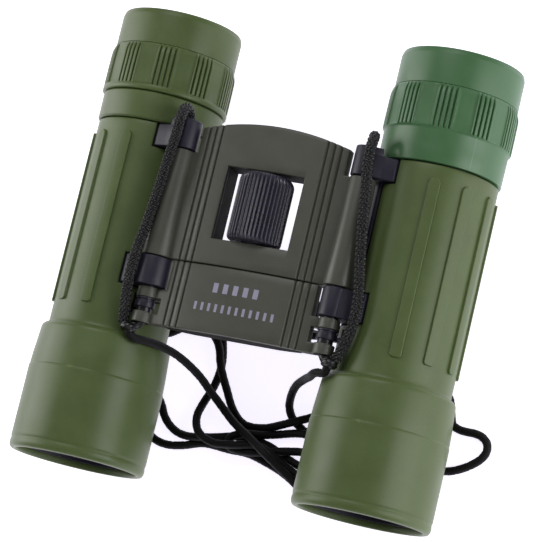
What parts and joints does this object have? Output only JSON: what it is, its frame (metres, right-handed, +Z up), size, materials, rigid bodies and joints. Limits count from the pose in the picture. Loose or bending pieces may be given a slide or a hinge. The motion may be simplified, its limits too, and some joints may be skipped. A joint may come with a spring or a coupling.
{
  "type": "folding pocket binoculars",
  "caption": "Folding pocket binoculars: rubber-armoured roof-prism barrels hinged to both sides of a central bridge with a focus wheel in a window, lying flat with a neck cord.",
  "frame": {"origin": "middle of the underside of the barrels' bounding box, on the surface that the barrels lie on, measured without the neck cord", "axes": "+X from the left barrel to the right barrel, +Y along the optical axes from the objectives towards the eyecups, +Z up, through the bridge"},
  "size_m": [0.1118, 0.111, 0.0362],
  "materials": {
    "armour_olive": "fine matt rubber with a soft sheen, olive green",
    "dioptre_green": "satin moulded plastic, greener than the armour",
    "bridge_shell": "satin moulded plastic, grey olive",
    "black_body": "smooth semi-gloss black",
    "black_inner": "matt black against stray light",
    "wheel_rubber": "black rubber, moulded knurl",
    "lens_glass": "clear glass with a faint coating",
    "prism_glass": "clear polished glass",
    "steel": "plain turned steel",
    "blackened_steel": "blackened steel tube",
    "cord_black": "black braided cord"
  },
  "bodies": {
    "bridge": {"bridge_eyepiece_section": "bridge_shell", "bridge_objective_section": "bridge_shell", "bridge_back_cover": "bridge_shell", "bridge_screw_front": "steel", "bridge_screw_rear": "steel", "hinge_tube_left": "blackened_steel", "hinge_tube_right": "blackened_steel", "strap_loop_left": "cord_black", "strap_loop_right": "cord_black", "strap_knot_left": "cord_black", "strap_knot_right": "cord_black", "neck_cord": "cord_black"},
    "focus_wheel": {"focus_wheel_grip": "wheel_rubber", "focus_wheel_hub": "black_body", "focus_spindle": "steel"},
    "focus_carriage": {"focus_crossbar": "blackened_steel"},
    "left_barrel": {"barrel_body_left": "black_body", "barrel_armour_left": "armour_olive", "prism_cage_left": "black_inner", "roof_prism_left": "prism_glass", "schmidt_prism_left": "prism_glass", "field_stop_left": "black_inner", "ocular_tube_left": "black_inner", "field_lens_left": "lens_glass", "eye_lens_left": "lens_glass", "eyepiece_collar_left": "armour_olive", "grip_ring_left": "armour_olive", "eyecup_left": "armour_olive"},
    "right_barrel": {"barrel_body_right": "black_body", "barrel_armour_right": "armour_olive", "prism_cage_right": "black_inner", "roof_prism_right": "prism_glass", "schmidt_prism_right": "prism_glass", "field_stop_right": "black_inner"},
    "left_cell": {"objective_cell_left": "black_inner", "objective_lens_left": "lens_glass", "objective_retainer_left": "black_inner", "focus_collar_left": "black_body"},
    "right_cell": {"objective_cell_right": "black_inner", "objective_lens_right": "lens_glass", "objective_retainer_right": "black_inner", "focus_collar_right": "black_body"},
    "right_ocular": {"ocular_tube_right": "black_inner", "field_lens_right": "lens_glass", "eye_lens_right": "lens_glass"},
    "dioptre_ring": {"diopter_ring_right": "dioptre_green", "eyecup_right": "dioptre_green"}
  },
  "joints": [
    {"name": "left_fold", "type": "hinge", "parent": "bridge", "child": "left_barrel", "pos_m": [-0.02325, 0.0045, 0.02961], "axis": [0, -1, 0], "range_deg": [0, 56], "deforming": ["neck_cord"]},
    {"name": "right_fold", "type": "hinge", "parent": "bridge", "child": "right_barrel", "pos_m": [0.02325, 0.0045, 0.02961], "axis": [0, 1, 0], "range_deg": [0, 56], "deforming": ["neck_cord"]},
    {"name": "focus_wheel_turn", "type": "hinge", "parent": "bridge", "child": "focus_wheel", "pos_m": [0, 0.0105, 0.02961], "axis": [0, 1, 0], "range_deg": [0, 302]},
    {"name": "focus_carriage_slide", "type": "slide", "parent": "bridge", "child": "focus_carriage", "axis": [0, 1, 0], "range_m": [-0.001, 0]},
    {"name": "left_cell_slide", "type": "slide", "parent": "left_barrel", "child": "left_cell", "axis": [0, 1, 0], "range_m": [-0.00101, 0]},
    {"name": "right_cell_slide", "type": "slide", "parent": "right_barrel", "child": "right_cell", "axis": [0, 1, 0], "range_m": [-0.00101, 0]},
    {"name": "dioptre_turn", "type": "hinge", "parent": "right_barrel", "child": "dioptre_ring", "pos_m": [0.0368, 0.0365, 0.01665], "axis": [0, 1, 0], "range_deg": [-60, 60]},
    {"name": "right_ocular_slide", "type": "slide", "parent": "right_barrel", "child": "right_ocular", "axis": [0, 1, 0], "range_m": [-0.001, 0.001]}
  ],
  "couplings": [
    {"joint": "focus_wheel_turn", "follows": "focus_carriage_slide", "rad_per_m": -5236},
    {"joint": "left_cell_slide", "follows": "focus_carriage_slide", "ratio": 1},
    {"joint": "right_cell_slide", "follows": "focus_carriage_slide", "ratio": 1},
    {"joint": "right_ocular_slide", "follows": "dioptre_turn", "m_per_rad": 0.00095}
  ]
}
